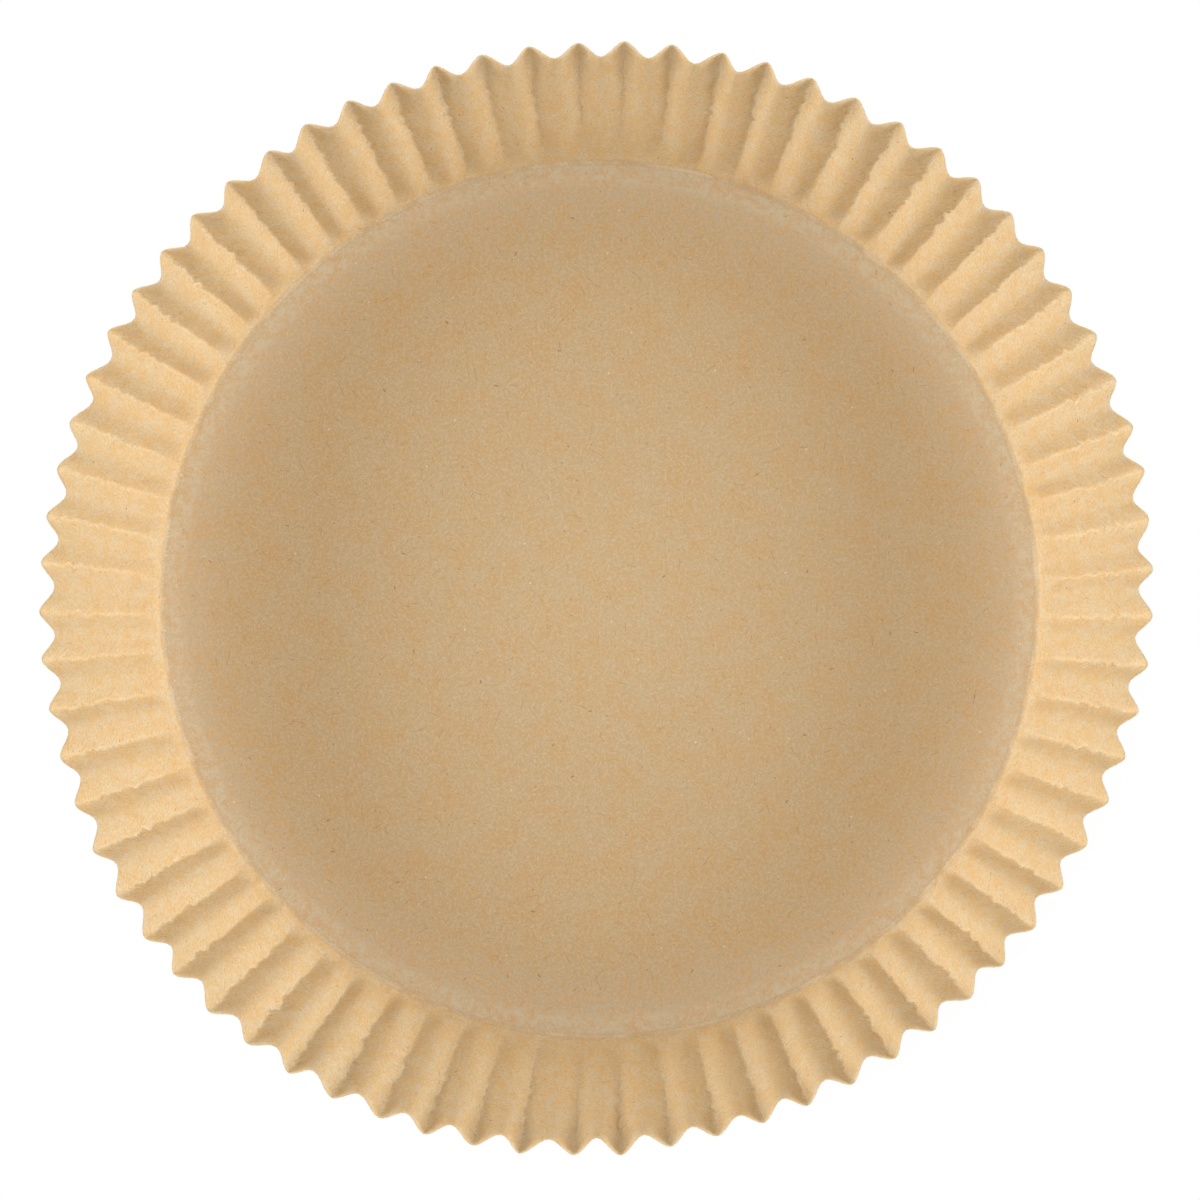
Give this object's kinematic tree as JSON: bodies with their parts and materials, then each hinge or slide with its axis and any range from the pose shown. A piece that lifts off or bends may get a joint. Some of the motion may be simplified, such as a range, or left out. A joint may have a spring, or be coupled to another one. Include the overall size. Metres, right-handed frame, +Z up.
{
  "type": "air fryer paper liner",
  "caption": "Round fluted paper cup with a flat floor and a flared, pleated wall, used to line an air fryer basket.",
  "frame": {"origin": "centre of the floor's underside", "axes": "+Z up the cup's axis, out of its open mouth; +X through the outer fold of one flute"},
  "size_m": [0.2, 0.2, 0.045],
  "materials": {
    "paper": "unbleached greaseproof paper, matt with a faint satin sheen"
  },
  "bodies": {
    "root": {"liner": "paper"}
  },
  "joints": []
}
